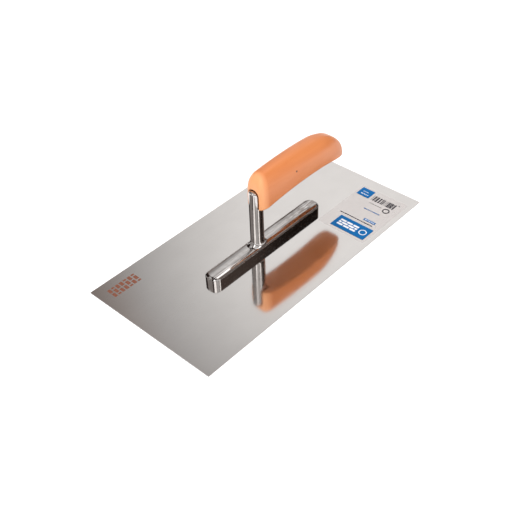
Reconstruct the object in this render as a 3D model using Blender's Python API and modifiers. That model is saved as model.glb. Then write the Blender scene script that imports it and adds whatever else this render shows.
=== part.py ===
"""Steel finishing trowel: a flat blade with a mounting bar riveted to it, and an open wooden
handle on a bent shank.

The blade lies flat with its working face at z = 0. X runs along the blade, from the handle's nose
end to its tail end, Y across the blade, and Z up. The origin is the middle of the working face.
"""

import math

import bmesh
import bpy
from mathutils import Matrix, Vector

MM = 0.001

# Blade: rolled stainless sheet.
BLADE_LENGTH = 300 * MM
BLADE_WIDTH = 150 * MM
BLADE_THICKNESS = 0.7 * MM

# Gaps between parts that touch on the real tool.
FACE_GAP = 0.03 * MM
HOLE_GAP = 0.05 * MM
WOOD_GAP = 0.3 * MM
PIN_TANG_GAP = 0.15 * MM

# Length by which a cutter runs on past the surface that it cuts.
CUT_OVERRUN = 10 * MM

# Mounting bar, riveted along the middle of the blade.
BAR_LENGTH = 150 * MM
BAR_WIDTH = 17.0 * MM
BAR_CENTRE_X = 1.2 * MM
BAR_TOP = 9.8 * MM
BAR_SHOULDER = 7.7 * MM
BAR_TOP_HALF_WIDTH = 5.6 * MM
BAR_CORNER_RADIUS = 6.0 * MM
BAR_TOP_CORNER_SHARE = 0.6
BAR_LOWER_EDGE = 0.3 * MM
BAR_EDGE_ANGLES = (20, 40, 60, 75)

# Flush rivets, set from the working face into blind holes in the bar.
RIVET_COUNT = 8
RIVET_PITCH = 19 * MM
RIVET_HEAD_RADIUS = 3.2 * MM
RIVET_SHANK_RADIUS = 1.9 * MM
RIVET_LENGTH = 5.0 * MM
RIVET_TIP_CHAMFER = 0.4 * MM

# Shank: an oval post that stands on the bar on a tenon, then bends back into the handle.
SHANK_X = -8.5 * MM
SHANK_HALF_DEPTH = 7.1 * MM
SHANK_HALF_WIDTH = 5.3 * MM
SHANK_SQUARENESS = 2.4
SHANK_FRONT_FILLET = 5.0 * MM
SHANK_REAR_FILLET = 1.6 * MM
TENON_RADIUS = 3.5 * MM
TENON_LENGTH = 3.6 * MM
THINNING_START = 53 * MM
BEND_START = 64 * MM
BEND_RADIUS = 2 * MM
BEND_INNER_SHARE = 0.9

# Tang: the tapered end of the shank, which slopes up a little inside the handle.
TANG_SLOPE = math.radians(10.7)
TANG_LENGTH = 50 * MM
TANG_HALF_WIDTHS = (4.2 * MM, 2.6 * MM)
TANG_HALF_HEIGHTS = (4.8 * MM, 3.2 * MM)

# Pin that locks the tang in the handle, driven in from the -Y side.
PIN_X = 33 * MM
PIN_RADIUS = 1.0 * MM
PIN_LENGTH = 22 * MM
PIN_SUNK = 0.5 * MM

# Handle: nose at the shank, tail at the far end. Each triple is nose, middle, tail.
HANDLE_NOSE_X = -12.2 * MM
HANDLE_TAIL_X = 107.5 * MM
HANDLE_NOSE_LENGTH = 13 * MM
HANDLE_TAIL_LENGTH = 34 * MM
NOSE_CORNER_LENGTH = 8.6 * MM
NOSE_CORNER_WIDTH = 8.0 * MM
HANDLE_TAIL_SQUARENESS = 4.3
HANDLE_HALF_WIDTHS = (12.1 * MM, 13.5 * MM, 13.8 * MM)
HANDLE_BOTTOM_HEIGHTS = (50.6 * MM, 58.0 * MM, 53.2 * MM)
HANDLE_CREST_HEIGHTS = (86.4 * MM, 86.8 * MM, 84.4 * MM)
HANDLE_SHOULDER_HEIGHTS = (67.4 * MM, 70.5 * MM, 54.9 * MM)
HANDLE_DOME_SQUARENESS = 2.2
HANDLE_EDGE_RADII = (2.2 * MM, 0.9 * MM)

# Notch in the handle's nose, which the shank stands in.
NOTCH_HALF_WIDTH = 6.6 * MM
NOTCH_TOP = 71.4 * MM
NOTCH_REAR_X = 0.6 * MM

# Printed film label stuck on the blade.
LABEL_SIZE = (75 * MM, 55 * MM)
LABEL_CENTRE = (99.5 * MM, -42.5 * MM)
LABEL_THICKNESS = 0.12 * MM
LABEL_CORNER_RADIUS = 2.0 * MM

BAR_BOTTOM = BLADE_THICKNESS + FACE_GAP
SHANK_FOOT = BAR_TOP + FACE_GAP
BEND_ANGLE = math.pi / 2 - TANG_SLOPE
TANG_START = (
    SHANK_X + BEND_RADIUS * (1 - math.cos(BEND_ANGLE)),
    BEND_START + BEND_RADIUS * math.sin(BEND_ANGLE),
)
PIN_HEIGHT = TANG_START[1] + (PIN_X - TANG_START[0]) * math.tan(TANG_SLOPE)
NOSE_END = HANDLE_NOSE_X + HANDLE_NOSE_LENGTH
TAIL_START = HANDLE_TAIL_X - HANDLE_TAIL_LENGTH
GRIP_PLACES = (NOSE_END, (NOSE_END + TAIL_START) / 2, TAIL_START)


# --- Scene, materials and objects ---


def clear_scene():
    for obj in list(bpy.data.objects):
        bpy.data.objects.remove(obj, do_unlink=True)


def new_collection(name):
    collection = bpy.data.collections.new(name)
    bpy.context.scene.collection.children.link(collection)
    return collection


def new_material(name, colour, roughness, metallic=0.0, alpha=1.0):
    material = bpy.data.materials.new(name)
    material.use_nodes = True
    shader = material.node_tree.nodes["Principled BSDF"]
    shader.inputs["Base Color"].default_value = (*colour, 1.0)
    shader.inputs["Roughness"].default_value = roughness
    shader.inputs["Metallic"].default_value = metallic
    shader.inputs["Alpha"].default_value = alpha
    material.diffuse_color = (*colour, alpha)
    return material


def object_from_bmesh(name, shape, collection, material=None, smooth_angle=None):
    bmesh.ops.recalc_face_normals(shape, faces=shape.faces)
    mesh = bpy.data.meshes.new(name)
    shape.to_mesh(mesh)
    shape.free()
    obj = bpy.data.objects.new(name, mesh)
    collection.objects.link(obj)
    if material:
        mesh.materials.append(material)
    if smooth_angle:
        mesh.shade_smooth()
        mesh.set_sharp_from_angle(angle=smooth_angle)
    return obj


def make_cutter(obj):
    obj.hide_render = True
    obj.display_type = "WIRE"
    return obj


def boolean(target, other, operation):
    modifier = target.modifiers.new(f"{operation.lower()}_{other.name}", "BOOLEAN")
    modifier.operation = operation
    modifier.solver = "EXACT"
    modifier.object = other


# --- Shapes ---


def box(size, centre):
    shape = bmesh.new()
    bmesh.ops.create_cube(shape, size=1.0)
    bmesh.ops.scale(shape, vec=Vector(size), verts=shape.verts)
    bmesh.ops.translate(shape, vec=Vector(centre), verts=shape.verts)
    return shape


def cylinder(radius, length, segments, matrix):
    shape = bmesh.new()
    bmesh.ops.create_cone(
        shape,
        cap_ends=True,
        segments=segments,
        radius1=radius,
        radius2=radius,
        depth=length,
        matrix=matrix,
    )
    return shape


def superellipse(half_x, half_y, squareness, count):
    """Points round a superellipse: squareness 2 is an ellipse, and more is squarer."""
    points = []
    for step in range(count):
        angle = 2 * math.pi * step / count
        cosine = math.cos(angle)
        sine = math.sin(angle)
        x = math.copysign(abs(cosine) ** (2 / squareness), cosine) * half_x
        y = math.copysign(abs(sine) ** (2 / squareness), sine) * half_y
        points.append((x, y))
    return points


def loft(rings, closed_ends=True):
    """Skin over rings of equal counts, with both end rings filled."""
    shape = bmesh.new()
    rows = [[shape.verts.new(point) for point in ring] for ring in rings]
    count = len(rows[0])
    for low, high in zip(rows, rows[1:]):
        for i in range(count):
            j = (i + 1) % count
            shape.faces.new((low[i], low[j], high[j], high[i]))
    if closed_ends:
        shape.faces.new(reversed(rows[0]))
        shape.faces.new(rows[-1])
    return shape


def turned_profile(name, profile, collection, material=None):
    """A solid of revolution about its own Z axis, from (radius, height) points listed top to bottom."""
    mesh = bpy.data.meshes.new(name)
    edges = [(i, i + 1) for i in range(len(profile) - 1)]
    mesh.from_pydata([(radius, 0, height) for radius, height in profile], edges, [])
    obj = bpy.data.objects.new(name, mesh)
    collection.objects.link(obj)
    screw = obj.modifiers.new("turned", "SCREW")
    screw.steps = 24
    screw.render_steps = 24
    screw.use_merge_vertices = True
    screw.merge_threshold = 0.00001
    screw.use_smooth_shade = False
    if material:
        mesh.materials.append(material)
    return obj


def parabola(x, places, heights):
    """The height at x of the parabola through three (place, height) pairs."""
    total = 0.0
    for i in range(3):
        term = heights[i]
        for j in range(3):
            if j != i:
                term *= (x - places[j]) / (places[i] - places[j])
        total += term
    return total


def ease(t):
    """0 to 1 with level ends."""
    t = min(max(t, 0.0), 1.0)
    return t * t * (3 - 2 * t)


# --- Blade, rivets, bar and label ---


def rivet_places():
    first = BAR_CENTRE_X - RIVET_PITCH * (RIVET_COUNT - 1) / 2
    return [first + RIVET_PITCH * i for i in range(RIVET_COUNT)]


def rivet_profile(gap):
    """Countersunk head in the blade and a straight shank above it, all larger by gap."""
    head = RIVET_HEAD_RADIUS + gap
    shank = RIVET_SHANK_RADIUS + gap
    top = RIVET_LENGTH + gap
    return [
        (0, top),
        (shank - RIVET_TIP_CHAMFER, top),
        (shank, top - RIVET_TIP_CHAMFER),
        (shank, BLADE_THICKNESS),
        (head, 0),
        (0, 0),
    ]


def rivet_cutter_profile():
    """The rivet's profile with its clearance, carried on below the working face."""
    profile = rivet_profile(HOLE_GAP)[:-2]
    head = RIVET_HEAD_RADIUS + HOLE_GAP
    return profile + [(head, 0), (head, -CUT_OVERRUN), (0, -CUT_OVERRUN)]


def make_rivet_holes(cutters):
    holes = []
    for number, x in enumerate(rivet_places(), start=1):
        hole = turned_profile(f"cut_rivet_{number}", rivet_cutter_profile(), cutters)
        hole.location.x = x
        holes.append(make_cutter(hole))
    return holes


def make_rivets(parts, material):
    for number, x in enumerate(rivet_places(), start=1):
        rivet = turned_profile(f"rivet_{number}", rivet_profile(0), parts, material)
        rivet.location.x = x


def make_blade(parts, holes, material):
    shape = box(
        (BLADE_LENGTH, BLADE_WIDTH, BLADE_THICKNESS), (0, 0, BLADE_THICKNESS / 2)
    )
    blade = object_from_bmesh("blade", shape, parts, material)
    for hole in holes:
        boolean(blade, hole, "DIFFERENCE")
    return blade


def bar_outline(inset, z):
    """The bar's plan outline at height z, drawn in by inset on every side."""
    half_length = BAR_LENGTH / 2 - inset
    half_width = BAR_WIDTH / 2 - inset
    radius = BAR_CORNER_RADIUS - inset * BAR_TOP_CORNER_SHARE
    corner_steps = 6
    ring = []
    for corner in range(4):
        side_x = 1 if corner in (0, 3) else -1
        side_y = 1 if corner in (0, 1) else -1
        centre_x = BAR_CENTRE_X + side_x * (half_length - radius)
        centre_y = side_y * (half_width - radius)
        for step in range(corner_steps + 1):
            angle = math.pi / 2 * (corner + step / corner_steps)
            x = centre_x + radius * math.cos(angle)
            y = centre_y + radius * math.sin(angle)
            ring.append((x, y, z))
    return ring


def make_bar(parts, cutters, holes, material):
    chamfer = BAR_WIDTH / 2 - BAR_TOP_HALF_WIDTH
    chamfer_height = BAR_TOP - BAR_SHOULDER
    rings = [
        bar_outline(BAR_LOWER_EDGE, BAR_BOTTOM),
        bar_outline(0, BAR_BOTTOM + BAR_LOWER_EDGE),
        bar_outline(0, BAR_SHOULDER),
    ]
    for angle in BAR_EDGE_ANGLES:
        rise = math.sin(math.radians(angle))
        inset = chamfer * (1 - math.cos(math.radians(angle)))
        rings.append(bar_outline(inset, BAR_SHOULDER + chamfer_height * rise))
    rings.append(bar_outline(chamfer, BAR_TOP))
    bar = object_from_bmesh(
        "mounting_bar", loft(rings), parts, material, math.radians(30)
    )
    socket_depth = TENON_LENGTH + FACE_GAP
    socket = cylinder(
        TENON_RADIUS + HOLE_GAP,
        2 * socket_depth,
        24,
        Matrix.Translation((SHANK_X, 0, BAR_TOP)),
    )
    boolean(
        bar,
        make_cutter(object_from_bmesh("cut_tenon_socket", socket, cutters)),
        "DIFFERENCE",
    )
    for hole in holes:
        boolean(bar, hole, "DIFFERENCE")
    return bar


def make_label(parts, material):
    low = BLADE_THICKNESS + FACE_GAP
    shape = box(
        (*LABEL_SIZE, LABEL_THICKNESS), (*LABEL_CENTRE, low + LABEL_THICKNESS / 2)
    )
    upright = [
        edge
        for edge in shape.edges
        if abs(edge.verts[0].co.z - edge.verts[1].co.z) > LABEL_THICKNESS / 2
    ]
    bmesh.ops.bevel(
        shape,
        geom=upright,
        offset=LABEL_CORNER_RADIUS,
        segments=5,
        profile=0.5,
        affect="EDGES",
    )
    return object_from_bmesh("label", shape, parts, material)


# --- Shank ---


def between(pair, t):
    return pair[0] + (pair[1] - pair[0]) * t


def shank_ring(x, z, tilt, front, rear, half_width, squareness=SHANK_SQUARENESS):
    """An oval section about (x, z). It is level at tilt 0, and its front side turns up as tilt grows."""
    ring = []
    for across, y in superellipse(1.0, half_width, squareness, 32):
        reach = across * (rear if across > 0 else front)
        ring.append((x + reach * math.cos(tilt), y, z - reach * math.sin(tilt)))
    return ring


def tenon_rings():
    rings = []
    for z in (SHANK_FOOT - TENON_LENGTH, SHANK_FOOT):
        rings.append(shank_ring(SHANK_X, z, 0, TENON_RADIUS, TENON_RADIUS, TENON_RADIUS, 2))
    return rings


def foot_rings():
    """The foot flares forwards and a little backwards, and stays flush with the bar's flat top."""
    rings = []
    fillet_steps = 6
    for step in range(fillet_steps + 1):
        angle = math.pi / 2 * step / fillet_steps
        flare = 1 - math.sin(angle)
        z = SHANK_FOOT + SHANK_FRONT_FILLET * (1 - math.cos(angle))
        front = SHANK_HALF_DEPTH + SHANK_FRONT_FILLET * flare
        rear = SHANK_HALF_DEPTH + SHANK_REAR_FILLET * flare
        rings.append(shank_ring(SHANK_X, z, 0, front, rear, SHANK_HALF_WIDTH))
    return rings


def bend_rings():
    """The post thins from behind below the bend, so that the bend's inner side doesn't fold."""
    inner_limit = BEND_RADIUS * BEND_INNER_SHARE
    rings = [
        shank_ring(SHANK_X, THINNING_START, 0, SHANK_HALF_DEPTH, SHANK_HALF_DEPTH, SHANK_HALF_WIDTH)
    ]
    bend_steps = 9
    for step in range(bend_steps + 1):
        t = step / bend_steps
        tilt = BEND_ANGLE * t
        x = SHANK_X + BEND_RADIUS * (1 - math.cos(tilt))
        z = BEND_START + BEND_RADIUS * math.sin(tilt)
        front = between((SHANK_HALF_DEPTH, TANG_HALF_HEIGHTS[0]), t)
        rear = between((inner_limit, TANG_HALF_HEIGHTS[0]), t)
        half_width = between((SHANK_HALF_WIDTH, TANG_HALF_WIDTHS[0]), t)
        rings.append(shank_ring(x, z, tilt, front, rear, half_width))
    return rings


def tang_rings(places, gap=0.0):
    """Sections along the tang, from 0 at the bend to 1 at its end, larger all round by gap."""
    rings = []
    for place in places:
        along = (TANG_LENGTH + gap) * place
        x = TANG_START[0] + along * math.cos(TANG_SLOPE)
        z = TANG_START[1] + along * math.sin(TANG_SLOPE)
        half_height = between(TANG_HALF_HEIGHTS, place) + gap
        half_width = between(TANG_HALF_WIDTHS, place) + gap
        rings.append(shank_ring(x, z, BEND_ANGLE, half_height, half_height, half_width))
    return rings


def make_shank(parts, cutters, material):
    rings = tenon_rings() + foot_rings() + bend_rings() + tang_rings((0.5, 1.0))
    shank = object_from_bmesh("shank", loft(rings), parts, material, math.radians(40))
    hole = pin_hole("cut_pin_hole_in_tang", PIN_TANG_GAP, cutters)
    boolean(shank, make_cutter(hole), "DIFFERENCE")
    return shank


# --- Handle and pin ---


def handle_half_width(x):
    return parabola(x, GRIP_PLACES, HANDLE_HALF_WIDTHS)


def handle_crest(x):
    return parabola(x, GRIP_PLACES, HANDLE_CREST_HEIGHTS)


def handle_bottom(x):
    middle = (HANDLE_NOSE_X + HANDLE_TAIL_X) / 2
    return parabola(x, (HANDLE_NOSE_X, middle, HANDLE_TAIL_X), HANDLE_BOTTOM_HEIGHTS)


def handle_shoulder(x):
    """Height at which the handle's upright sides turn into its rounded top."""
    nose, middle, tail = HANDLE_SHOULDER_HEIGHTS
    along_grip = ease((x - NOSE_END) / (TAIL_START - NOSE_END))
    along_tail = ease((x - TAIL_START) / HANDLE_TAIL_LENGTH)
    return nose + (middle - nose) * along_grip + (tail - middle) * along_tail


def nose_outline():
    """Half of the nose in plan: a flat front, then a rounded corner that meets the side."""
    half = []
    flat_steps = 2
    corner_steps = 8
    flat_half = handle_half_width(HANDLE_NOSE_X + NOSE_CORNER_LENGTH) - NOSE_CORNER_WIDTH
    for step in range(flat_steps):
        half.append((HANDLE_NOSE_X, flat_half * step / flat_steps))
    for step in range(corner_steps + 1):
        angle = math.pi / 2 * step / corner_steps
        x = HANDLE_NOSE_X + NOSE_CORNER_LENGTH * (1 - math.cos(angle))
        half.append((x, flat_half + NOSE_CORNER_WIDTH * math.sin(angle)))
    half.append((NOSE_END, handle_half_width(NOSE_END)))
    return half


def handle_outline():
    """The plan outline once round, each point as (x, y, x of the spine point it closes on)."""
    grip_steps = 11
    tail_steps = 10
    side = [(x, y, NOSE_END) for x, y in nose_outline()]
    for step in range(1, grip_steps):
        x = between((NOSE_END, TAIL_START), step / grip_steps)
        side.append((x, handle_half_width(x), x))
    for step in range(tail_steps + 1):
        angle = math.pi / 2 * step / tail_steps
        x = TAIL_START + HANDLE_TAIL_LENGTH * math.sin(angle) ** (2 / HANDLE_TAIL_SQUARENESS)
        cosine = max(math.cos(angle), 0.0)
        y = handle_half_width(x) * cosine ** (2 / HANDLE_TAIL_SQUARENESS)
        side.append((x, y, TAIL_START))
    mirrored = [(x, -y, spine) for x, y, spine in reversed(side[1:-1])]
    return side + mirrored


def handle_body():
    """Rings from the underside's middle line, round the lower edge, up the sides and over the dome."""
    outline = handle_outline()
    widest = max(HANDLE_HALF_WIDTHS)
    rings = [[(spine, 0, handle_bottom(spine)) for x, y, spine in outline]]
    for angle in (0, 30, 60, 90):
        ring = []
        for x, y, spine in outline:
            start, end = HANDLE_EDGE_RADII
            radius = start + (end - start) * ease(
                (x - spine) / HANDLE_TAIL_LENGTH if x > spine else 0
            )
            turn = math.radians(angle)
            scale = 1 - radius / widest * (1 - math.sin(turn))
            z = handle_bottom(x) + radius * (1 - math.cos(turn))
            ring.append((spine + (x - spine) * scale, y * scale, z))
        rings.append(ring)
    dome_steps = 9
    power = 2 / HANDLE_DOME_SQUARENESS
    for step in range(dome_steps + 1):
        turn = math.pi / 2 * step / dome_steps
        scale = max(math.cos(turn), 0.0) ** power
        lift = math.sin(turn) ** power
        ring = []
        for x, y, spine in outline:
            ring_x = spine + (x - spine) * scale
            base = handle_shoulder(x)
            ring.append(
                (ring_x, y * scale, base + (handle_crest(ring_x) - base) * lift)
            )
        rings.append(ring)
    shape = loft(rings, closed_ends=False)
    bmesh.ops.remove_doubles(shape, verts=shape.verts, dist=0.00001)
    return shape


def notch_cutter(cutters):
    """An arched slot that runs in from in front of the nose, open below."""
    curve = bpy.data.curves.new("notch_outline", "CURVE")
    curve.dimensions = "2D"
    curve.fill_mode = "BOTH"
    front_x = HANDLE_NOSE_X - CUT_OVERRUN
    curve.extrude = (NOTCH_REAR_X - front_x) / 2
    spring = NOTCH_TOP - NOTCH_HALF_WIDTH
    points = [
        (NOTCH_HALF_WIDTH, HANDLE_BOTTOM_HEIGHTS[0] - CUT_OVERRUN),
        (NOTCH_HALF_WIDTH, spring),
    ]
    arch_steps = 14
    for step in range(1, arch_steps):
        angle = math.pi * step / arch_steps
        points.append(
            (
                NOTCH_HALF_WIDTH * math.cos(angle),
                spring + NOTCH_HALF_WIDTH * math.sin(angle),
            )
        )
    points += [(-y, z) for y, z in (points[1], points[0])]
    spline = curve.splines.new("POLY")
    spline.points.add(len(points) - 1)
    for place, (y, z) in zip(spline.points, points):
        place.co = (y, z, 0, 1)
    spline.use_cyclic_u = True
    outline = bpy.data.objects.new("notch_outline", curve)
    cutters.objects.link(outline)
    # The outline's own X and Y become the object's Y and Z.
    outline.matrix_world = Matrix.Translation(
        ((front_x + NOTCH_REAR_X) / 2, 0, 0)
    ) @ Matrix(((0, 0, 1, 0), (1, 0, 0, 0), (0, 1, 0, 0), (0, 0, 0, 1)))
    return mesh_from_curve(outline, "cut_notch", cutters)


def mesh_from_curve(source, name, collection):
    """A closed mesh object in place of a curve object."""
    bpy.context.view_layer.update()
    graph = bpy.context.evaluated_depsgraph_get()
    mesh = bpy.data.meshes.new_from_object(source.evaluated_get(graph))
    shape = bmesh.new()
    shape.from_mesh(mesh)
    bmesh.ops.remove_doubles(shape, verts=shape.verts, dist=0.00001)
    place = source.matrix_world.copy()
    bpy.data.objects.remove(source, do_unlink=True)
    obj = object_from_bmesh(name, shape, collection)
    obj.matrix_world = place
    return obj


def pin_hole(name, gap, cutters):
    """Blind hole for the pin, from outside the -Y side to just past the pin's point."""
    outside = -(max(HANDLE_HALF_WIDTHS) + CUT_OVERRUN)
    end = pin_start() + PIN_LENGTH + gap
    turn = Matrix.Rotation(math.pi / 2, 4, "X")
    place = Matrix.Translation((PIN_X, (outside + end) / 2, PIN_HEIGHT))
    shape = cylinder(PIN_RADIUS + gap, end - outside, 16, place @ turn)
    return object_from_bmesh(name, shape, cutters)


def pin_start():
    """Y of the pin's head, sunk a little below the handle's side."""
    return -(handle_half_width(PIN_X) - PIN_SUNK)


def make_pin(parts, material):
    turn = Matrix.Rotation(math.pi / 2, 4, "X")
    place = Matrix.Translation((PIN_X, pin_start() + PIN_LENGTH / 2, PIN_HEIGHT))
    shape = cylinder(PIN_RADIUS, PIN_LENGTH, 16, place @ turn)
    return object_from_bmesh("tang_pin", shape, parts, material, math.radians(40))


def make_handle(parts, cutters, material):
    handle = object_from_bmesh(
        "handle", handle_body(), parts, material, math.radians(50)
    )
    # The bore starts in front of the tang, inside the notch.
    bore_rings = tang_rings((-0.1, 1.0), WOOD_GAP)
    bore = object_from_bmesh("cut_tang_bore", loft(bore_rings), cutters)
    boolean(handle, make_cutter(notch_cutter(cutters)), "DIFFERENCE")
    boolean(handle, make_cutter(bore), "DIFFERENCE")
    boolean(
        handle, make_cutter(pin_hole("cut_pin_hole", HOLE_GAP, cutters)), "DIFFERENCE"
    )
    return handle


def main():
    clear_scene()
    parts = new_collection("finishing_trowel")
    cutters = new_collection("cutters")
    blade_steel = new_material("blade_steel", (0.62, 0.60, 0.58), 0.18, 1.0)
    chrome = new_material("chrome", (0.80, 0.80, 0.81), 0.06, 1.0)
    plain_steel = new_material("plain_steel", (0.45, 0.44, 0.43), 0.35, 1.0)
    beech = new_material("beech", (0.80, 0.42, 0.17), 0.40)
    film = new_material("label_film", (0.75, 0.80, 0.85), 0.20, alpha=0.6)
    holes = make_rivet_holes(cutters)
    make_blade(parts, holes, blade_steel)
    make_rivets(parts, plain_steel)
    make_bar(parts, cutters, holes, chrome)
    make_shank(parts, cutters, chrome)
    make_handle(parts, cutters, beech)
    make_pin(parts, plain_steel)
    make_label(parts, film)


main()
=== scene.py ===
"""Looks of a steel finishing trowel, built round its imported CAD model.

The blade, rivets and pin are the CAD's own nodes with new materials. The mounting bar, shank,
handle and label are replaced by finer pieces of the same sizes. Lengths are in metres, except in
the printed marks, which are laid out in millimetres.
"""

import math
import random

import bmesh
import bpy
from mathutils import Matrix, Vector, noise


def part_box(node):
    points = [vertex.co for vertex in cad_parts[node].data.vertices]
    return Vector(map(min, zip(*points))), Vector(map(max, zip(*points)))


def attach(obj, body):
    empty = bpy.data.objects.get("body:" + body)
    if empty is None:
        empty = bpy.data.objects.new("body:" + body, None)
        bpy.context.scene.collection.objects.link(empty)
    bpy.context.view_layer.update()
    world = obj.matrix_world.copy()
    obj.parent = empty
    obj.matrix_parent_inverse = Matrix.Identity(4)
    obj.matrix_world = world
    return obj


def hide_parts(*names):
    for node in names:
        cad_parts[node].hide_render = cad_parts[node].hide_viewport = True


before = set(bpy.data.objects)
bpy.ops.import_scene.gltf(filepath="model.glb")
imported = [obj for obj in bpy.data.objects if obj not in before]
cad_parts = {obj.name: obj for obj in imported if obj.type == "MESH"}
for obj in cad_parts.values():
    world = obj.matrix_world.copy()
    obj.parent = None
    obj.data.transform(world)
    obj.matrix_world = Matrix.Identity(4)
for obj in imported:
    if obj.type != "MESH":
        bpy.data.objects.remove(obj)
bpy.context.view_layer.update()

MM = 0.001

# Sizes read from the CAD nodes.
BLADE_LOW, BLADE_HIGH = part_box("blade")
BAR_LOW, BAR_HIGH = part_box("mounting_bar")
HANDLE_LOW, HANDLE_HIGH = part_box("handle")
LABEL_LOW, LABEL_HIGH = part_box("label")
PIN_LOW, PIN_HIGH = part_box("tang_pin")

# Mounting bar: a straight side, a fine ledge and a crowned top that rolls down to it.
BAR_END_LENGTH = 7.2 * MM
BAR_END_SQUARENESS = 2.15
BAR_END_INSET_SHARE = 0.35
BAR_LEDGE_HEIGHT = 7.7 * MM
BAR_SIDE_SHARES = (0, 0.5, 0.99)
BAR_LEDGE_WIDTH = 0.18 * MM
BAR_CROWN_HALF = BAR_HIGH.y - BAR_LEDGE_WIDTH
BAR_CROWN_POWER = 0.625
BAR_EDGE_INSET = 0.04 * MM
BAR_EDGE_DROP = 0.02 * MM

# Grinding waves on the bar's top: (share, length along X, width along Y, place in the noise).
GRIND_DEPTH = 0.045 * MM
GRIND_WAVES = ((1.0, 70 * MM, 1.1 * MM, 3.0), (0.8, 22 * MM, 2.6 * MM, 9.0))
GRIND_ABOVE_LEDGE = 0.2 * MM
GRIND_CLEARANCE = 13 * MM
GRIND_FADE = 10 * MM

# Shank: an oval post that flares on to the bar and bends back into the handle.
SHANK_X = -8.5 * MM
SHANK_HALF_DEPTH = 7.1 * MM
SHANK_HALF_WIDTH = 5.3 * MM
SHANK_SQUARENESS = 2.4
SECTION_POINTS = 72
FRONT_FILLET = 5.5 * MM
REAR_FILLET = 3.5 * MM
SIDE_FILLET = 2.3 * MM
FILLET_HEIGHT = 5.0 * MM
FOOT_SUNK = 0.04 * MM
THINNING_START = 53 * MM
THINNED_HEIGHT = 60.6 * MM
THINNED_REAR_X = -6.6 * MM
HEAD_HEIGHT = 70.9 * MM
HEAD_RADIUS = 2 * MM
TANG_START = Vector((-6.87, 0, 65.97)) * MM
TANG_SLOPE = math.radians(10.7)
TANG_LENGTH = 50 * MM
TANG_HALF_WIDTHS = (4.2 * MM, 2.6 * MM)
TANG_HALF_HEIGHTS = (4.8 * MM, 3.2 * MM)
TANG_TILT = math.pi / 2 - TANG_SLOPE
TANG_PLACES = (0.25, 0.5, 0.75, 1.0)
TANG_BLEND_START = 0.4
POST_FRONT_X = SHANK_X - SHANK_HALF_DEPTH

# Handle: nose at the shank, tail at the far end. Each triple is nose, middle, tail.
HANDLE_NOSE_X = HANDLE_LOW.x
HANDLE_TAIL_X = HANDLE_HIGH.x
NOSE_LENGTH = 13 * MM
TAIL_LENGTH = 34 * MM
NOSE_END = HANDLE_NOSE_X + NOSE_LENGTH
TAIL_START = HANDLE_TAIL_X - TAIL_LENGTH
NOSE_CORNER_LENGTH = 8.6 * MM
NOSE_CORNER_WIDTH = 8.0 * MM
NOSE_CORNER_SWEEP = math.radians(74)
TAIL_SQUARENESS = 4.3
HALF_WIDTHS = (12.1 * MM, 13.5 * MM, 13.8 * MM)
BOTTOM_HEIGHTS = (50.6 * MM, 58.0 * MM, 53.2 * MM)
CREST_HEIGHTS = (86.4 * MM, 86.8 * MM, 84.4 * MM)
SHOULDER_HEIGHTS = (67.4 * MM, 70.5 * MM, 54.9 * MM)
DOME_SQUARENESS = 2.2
EDGE_RADII = (2.2 * MM, 0.9 * MM)
EDGE_ANGLES = range(0, 91, 15)
SIDE_SHARES = (0.33, 0.67)
MERGE_DISTANCE = 0.01 * MM
NOTCH_HALF_WIDTH = 5.9 * MM
NOTCH_LIP = 1.6 * MM
NOTCH_TOP = 71.4 * MM
NOTCH_REAR_X = 0.6 * MM
BORE_GAP = 0.3 * MM
BORE_PLACES = (-0.1, 1.0)
PIN_GAP = 0.05 * MM
PIN_CUT_OVERRUN = 5 * MM
NOTCH_CUT_OVERRUN = 10 * MM

# Label and printed marks. The random seed, lengths, widths and gaps make up the small print.
FILM_CORNER = 2.0 * MM
PRINT_THICKNESS = 0.012 * MM
PRINT_ABOVE_FILM = 0.004 * MM
PRINT_ABOVE_INK = 0.016 * MM
PRINT_ABOVE_BLADE = 0.003 * MM
PRINT_CORNER_SHARE = 0.03
PRINT_SEED = 7
DASH_LENGTHS = (0.7, 3.2)
DASH_GAPS = (0.5, 0.9)
SHORTEST_DASH = 0.4
STRIPE_WIDTHS = (0.4, 0.6, 1.0, 1.5)
STRIPE_GAPS = (0.5, 0.9, 1.4)
BLUE_BLOCKS = (
    (65.6, -66.9, 83.7, -27.8),
    (91.2, -62.0, 94.2, -48.6),
    (121.8, -32.1, 134.6, -17.3),
)
DARK_DOT = (130.5, -64.1, 131.5, -63.1)

# Camera. Its azimuth is 0 on the -Y side and grows towards +X.
CAMERA_AIM = Vector((-10.2, 2.5, -6.7)) * MM
CAMERA_DISTANCE = 0.7745
CAMERA_AZIMUTH = math.radians(-45.96)
CAMERA_ELEVATION = math.radians(40.97)
CAMERA_ROLL = math.radians(-2.51)
CAMERA_LENS = 57.5
CAMERA_SENSOR = 36.0

# Floor and world. The world's light is warmer where it is weaker.
FLOOR_RADIUS = 8.0
FLOOR_DROP = 0.1 * MM
FAINT_LIGHT = 0.02
WEAK_TINT = (1.0, 0.72, 0.60)
STRONG_TINT = (1.0, 0.985, 0.975)
BACKDROP = (0.97, 0.97, 0.97, 1.0)

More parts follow.
